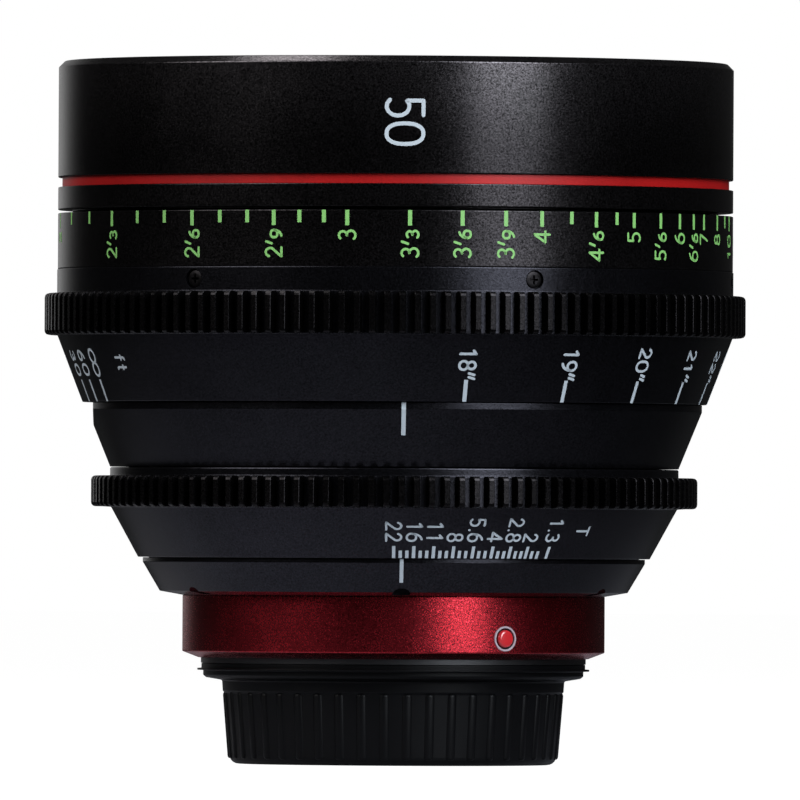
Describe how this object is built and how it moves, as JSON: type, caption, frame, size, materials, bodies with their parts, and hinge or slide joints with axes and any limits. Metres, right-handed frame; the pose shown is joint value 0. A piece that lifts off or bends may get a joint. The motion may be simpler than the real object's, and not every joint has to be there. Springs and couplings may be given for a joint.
{
  "type": "cinema prime lens",
  "caption": "Manual cine prime lens on its rear cap: geared focus and iris rings, sliding glass cell, working iris blades, hood baffle, bayonet mount, coloured accent rings.",
  "frame": {"origin": "middle of the rear cap's flat underside, which the lens stands on", "axes": "+Z along the optical axis towards the front glass; -Y towards the index lines, the side that the picture shows; +X to the right in the picture"},
  "size_m": [0.1184, 0.1184, 0.1184],
  "materials": {
    "barrel_black": "fine bead-blasted black anodising, satin",
    "hood_black": "matt black light-trap paint",
    "accent_red": "red anodising, satin",
    "mount_red": "turned and red anodised, satin with a fine grain",
    "focus_black": "fine bead-blasted black anodising, satin",
    "iris_black": "fine bead-blasted black anodising, satin",
    "screw_black": "black oxide",
    "steel": "turned steel",
    "mount_steel": "turned bright metal",
    "bronze": "turned bronze, greased",
    "inner_black": "matt black anodising",
    "bezel_black": "matt black anodising, grooved",
    "glass": "polished, multi-layer coated",
    "mark_white": "pale engraved paint",
    "mark_red": "glossy domed paint",
    "contact_plastic": "moulded",
    "contact_gold": "gold plated",
    "blade_steel": "thin steel, matt black",
    "cap_plastic": "moulded black, fine grain"
  },
  "bodies": {
    "barrel": {"front_barrel": "barrel_black", "hood_baffle": "hood_black", "accent_ring": "accent_red", "front_band": "barrel_black", "main_barrel": "barrel_black", "front_thrust_ring": "bronze", "focus_stop_key": "steel", "index_barrel": "barrel_black", "barrel_screws": "steel", "iris_bearing_tube": "inner_black", "tube_screws": "steel", "rear_cone": "barrel_black", "mount_ring": "mount_red", "mount_dot_ring": "mark_white", "mount_dot": "mark_red", "bayonet_mount": "mount_steel", "mount_screws": "steel", "rear_baffle": "inner_black", "contact_block": "contact_plastic", "contact_pins": "contact_gold"},
    "focus_ring": {"focus_ring": "focus_black", "focus_scale_band": "focus_black", "scale_band_screws": "screw_black", "helicoid_ring": "bronze"},
    "lens_cell": {"focus_cell": "inner_black", "follower_pins": "steel", "front_lens_barrel": "inner_black", "cell_lock_ring": "inner_black", "front_bezel": "bezel_black", "lens_1": "glass", "lens_2": "glass", "lens_3": "glass", "lens_4": "glass", "lens_5": "glass", "lens_6": "glass", "lens_7": "glass", "lens_8": "glass", "front_spacer": "inner_black", "middle_spacer": "inner_black", "rear_lens_barrel": "inner_black", "lens_6_ring": "inner_black", "rear_spacer": "inner_black", "rear_lock_ring": "inner_black", "iris_housing": "inner_black"},
    "iris_ring": {"iris_ring": "iris_black", "iris_drive_rod": "steel"},
    "iris_cam_ring": {"iris_cam_ring": "inner_black"},
    "rear_cap": {"rear_cap": "cap_plastic"},
    "blade_1": {"iris_blade_1": "blade_steel"},
    "blade_2": {"iris_blade_2": "blade_steel"},
    "blade_3": {"iris_blade_3": "blade_steel"},
    "blade_4": {"iris_blade_4": "blade_steel"},
    "blade_5": {"iris_blade_5": "blade_steel"},
    "blade_6": {"iris_blade_6": "blade_steel"},
    "blade_7": {"iris_blade_7": "blade_steel"},
    "blade_8": {"iris_blade_8": "blade_steel"},
    "blade_9": {"iris_blade_9": "blade_steel"},
    "blade_10": {"iris_blade_10": "blade_steel"},
    "blade_11": {"iris_blade_11": "blade_steel"}
  },
  "joints": [
    {"name": "focus_turn", "type": "hinge", "parent": "barrel", "child": "focus_ring", "pos_m": [0, 0, 0.08], "axis": [0, 0, -1], "range_deg": [0, 300]},
    {"name": "focus_travel", "type": "slide", "parent": "barrel", "child": "lens_cell", "axis": [0, 0, -1], "range_m": [0, 0.0078]},
    {"name": "iris_turn", "type": "hinge", "parent": "barrel", "child": "iris_ring", "pos_m": [0, 0, 0.046], "axis": [0, 0, -1], "range_deg": [-1.7, 35.3]},
    {"name": "cam_turn", "type": "hinge", "parent": "lens_cell", "child": "iris_cam_ring", "pos_m": [0, 0, 0.063], "axis": [0, 0, -1], "range_deg": [-1.7, 35.3]},
    {"name": "cap_release", "type": "slide", "parent": "barrel", "child": "rear_cap", "axis": [0, 0, -1], "range_m": [0, 0.03]},
    {"name": "blade_1_swing", "type": "hinge", "parent": "lens_cell", "child": "blade_1", "pos_m": [0.025, 0, 0.061], "axis": [0, 0, -1], "range_deg": [-1.7, 35.3]},
    {"name": "blade_2_swing", "type": "hinge", "parent": "lens_cell", "child": "blade_2", "pos_m": [0.02103, 0.01352, 0.061], "axis": [0, 0, -1], "range_deg": [-1.7, 35.3]},
    {"name": "blade_3_swing", "type": "hinge", "parent": "lens_cell", "child": "blade_3", "pos_m": [0.01039, 0.02274, 0.061], "axis": [0, 0, -1], "range_deg": [-1.7, 35.3]},
    {"name": "blade_4_swing", "type": "hinge", "parent": "lens_cell", "child": "blade_4", "pos_m": [-0.00356, 0.02475, 0.061], "axis": [0, 0, -1], "range_deg": [-1.7, 35.3]},
    {"name": "blade_5_swing", "type": "hinge", "parent": "lens_cell", "child": "blade_5", "pos_m": [-0.01637, 0.01889, 0.061], "axis": [0, 0, -1], "range_deg": [-1.7, 35.3]},
    {"name": "blade_6_swing", "type": "hinge", "parent": "lens_cell", "child": "blade_6", "pos_m": [-0.02399, 0.00704, 0.061], "axis": [0, 0, -1], "range_deg": [-1.7, 35.3]},
    {"name": "blade_7_swing", "type": "hinge", "parent": "lens_cell", "child": "blade_7", "pos_m": [-0.02399, -0.00704, 0.061], "axis": [0, 0, -1], "range_deg": [-1.7, 35.3]},
    {"name": "blade_8_swing", "type": "hinge", "parent": "lens_cell", "child": "blade_8", "pos_m": [-0.01637, -0.01889, 0.061], "axis": [0, 0, -1], "range_deg": [-1.7, 35.3]},
    {"name": "blade_9_swing", "type": "hinge", "parent": "lens_cell", "child": "blade_9", "pos_m": [-0.00356, -0.02475, 0.061], "axis": [0, 0, -1], "range_deg": [-1.7, 35.3]},
    {"name": "blade_10_swing", "type": "hinge", "parent": "lens_cell", "child": "blade_10", "pos_m": [0.01039, -0.02274, 0.061], "axis": [0, 0, -1], "range_deg": [-1.7, 35.3]},
    {"name": "blade_11_swing", "type": "hinge", "parent": "lens_cell", "child": "blade_11", "pos_m": [0.02103, -0.01352, 0.061], "axis": [0, 0, -1], "range_deg": [-1.7, 35.3]}
  ],
  "couplings": [
    {"joint": "focus_travel", "follows": "focus_turn", "m_per_rad": 0.0014896},
    {"joint": "cam_turn", "follows": "iris_turn", "ratio": 1},
    {"joint": "blade_1_swing", "follows": "iris_turn", "ratio": 1},
    {"joint": "blade_2_swing", "follows": "iris_turn", "ratio": 1},
    {"joint": "blade_3_swing", "follows": "iris_turn", "ratio": 1},
    {"joint": "blade_4_swing", "follows": "iris_turn", "ratio": 1},
    {"joint": "blade_5_swing", "follows": "iris_turn", "ratio": 1},
    {"joint": "blade_6_swing", "follows": "iris_turn", "ratio": 1},
    {"joint": "blade_7_swing", "follows": "iris_turn", "ratio": 1},
    {"joint": "blade_8_swing", "follows": "iris_turn", "ratio": 1},
    {"joint": "blade_9_swing", "follows": "iris_turn", "ratio": 1},
    {"joint": "blade_10_swing", "follows": "iris_turn", "ratio": 1},
    {"joint": "blade_11_swing", "follows": "iris_turn", "ratio": 1}
  ]
}
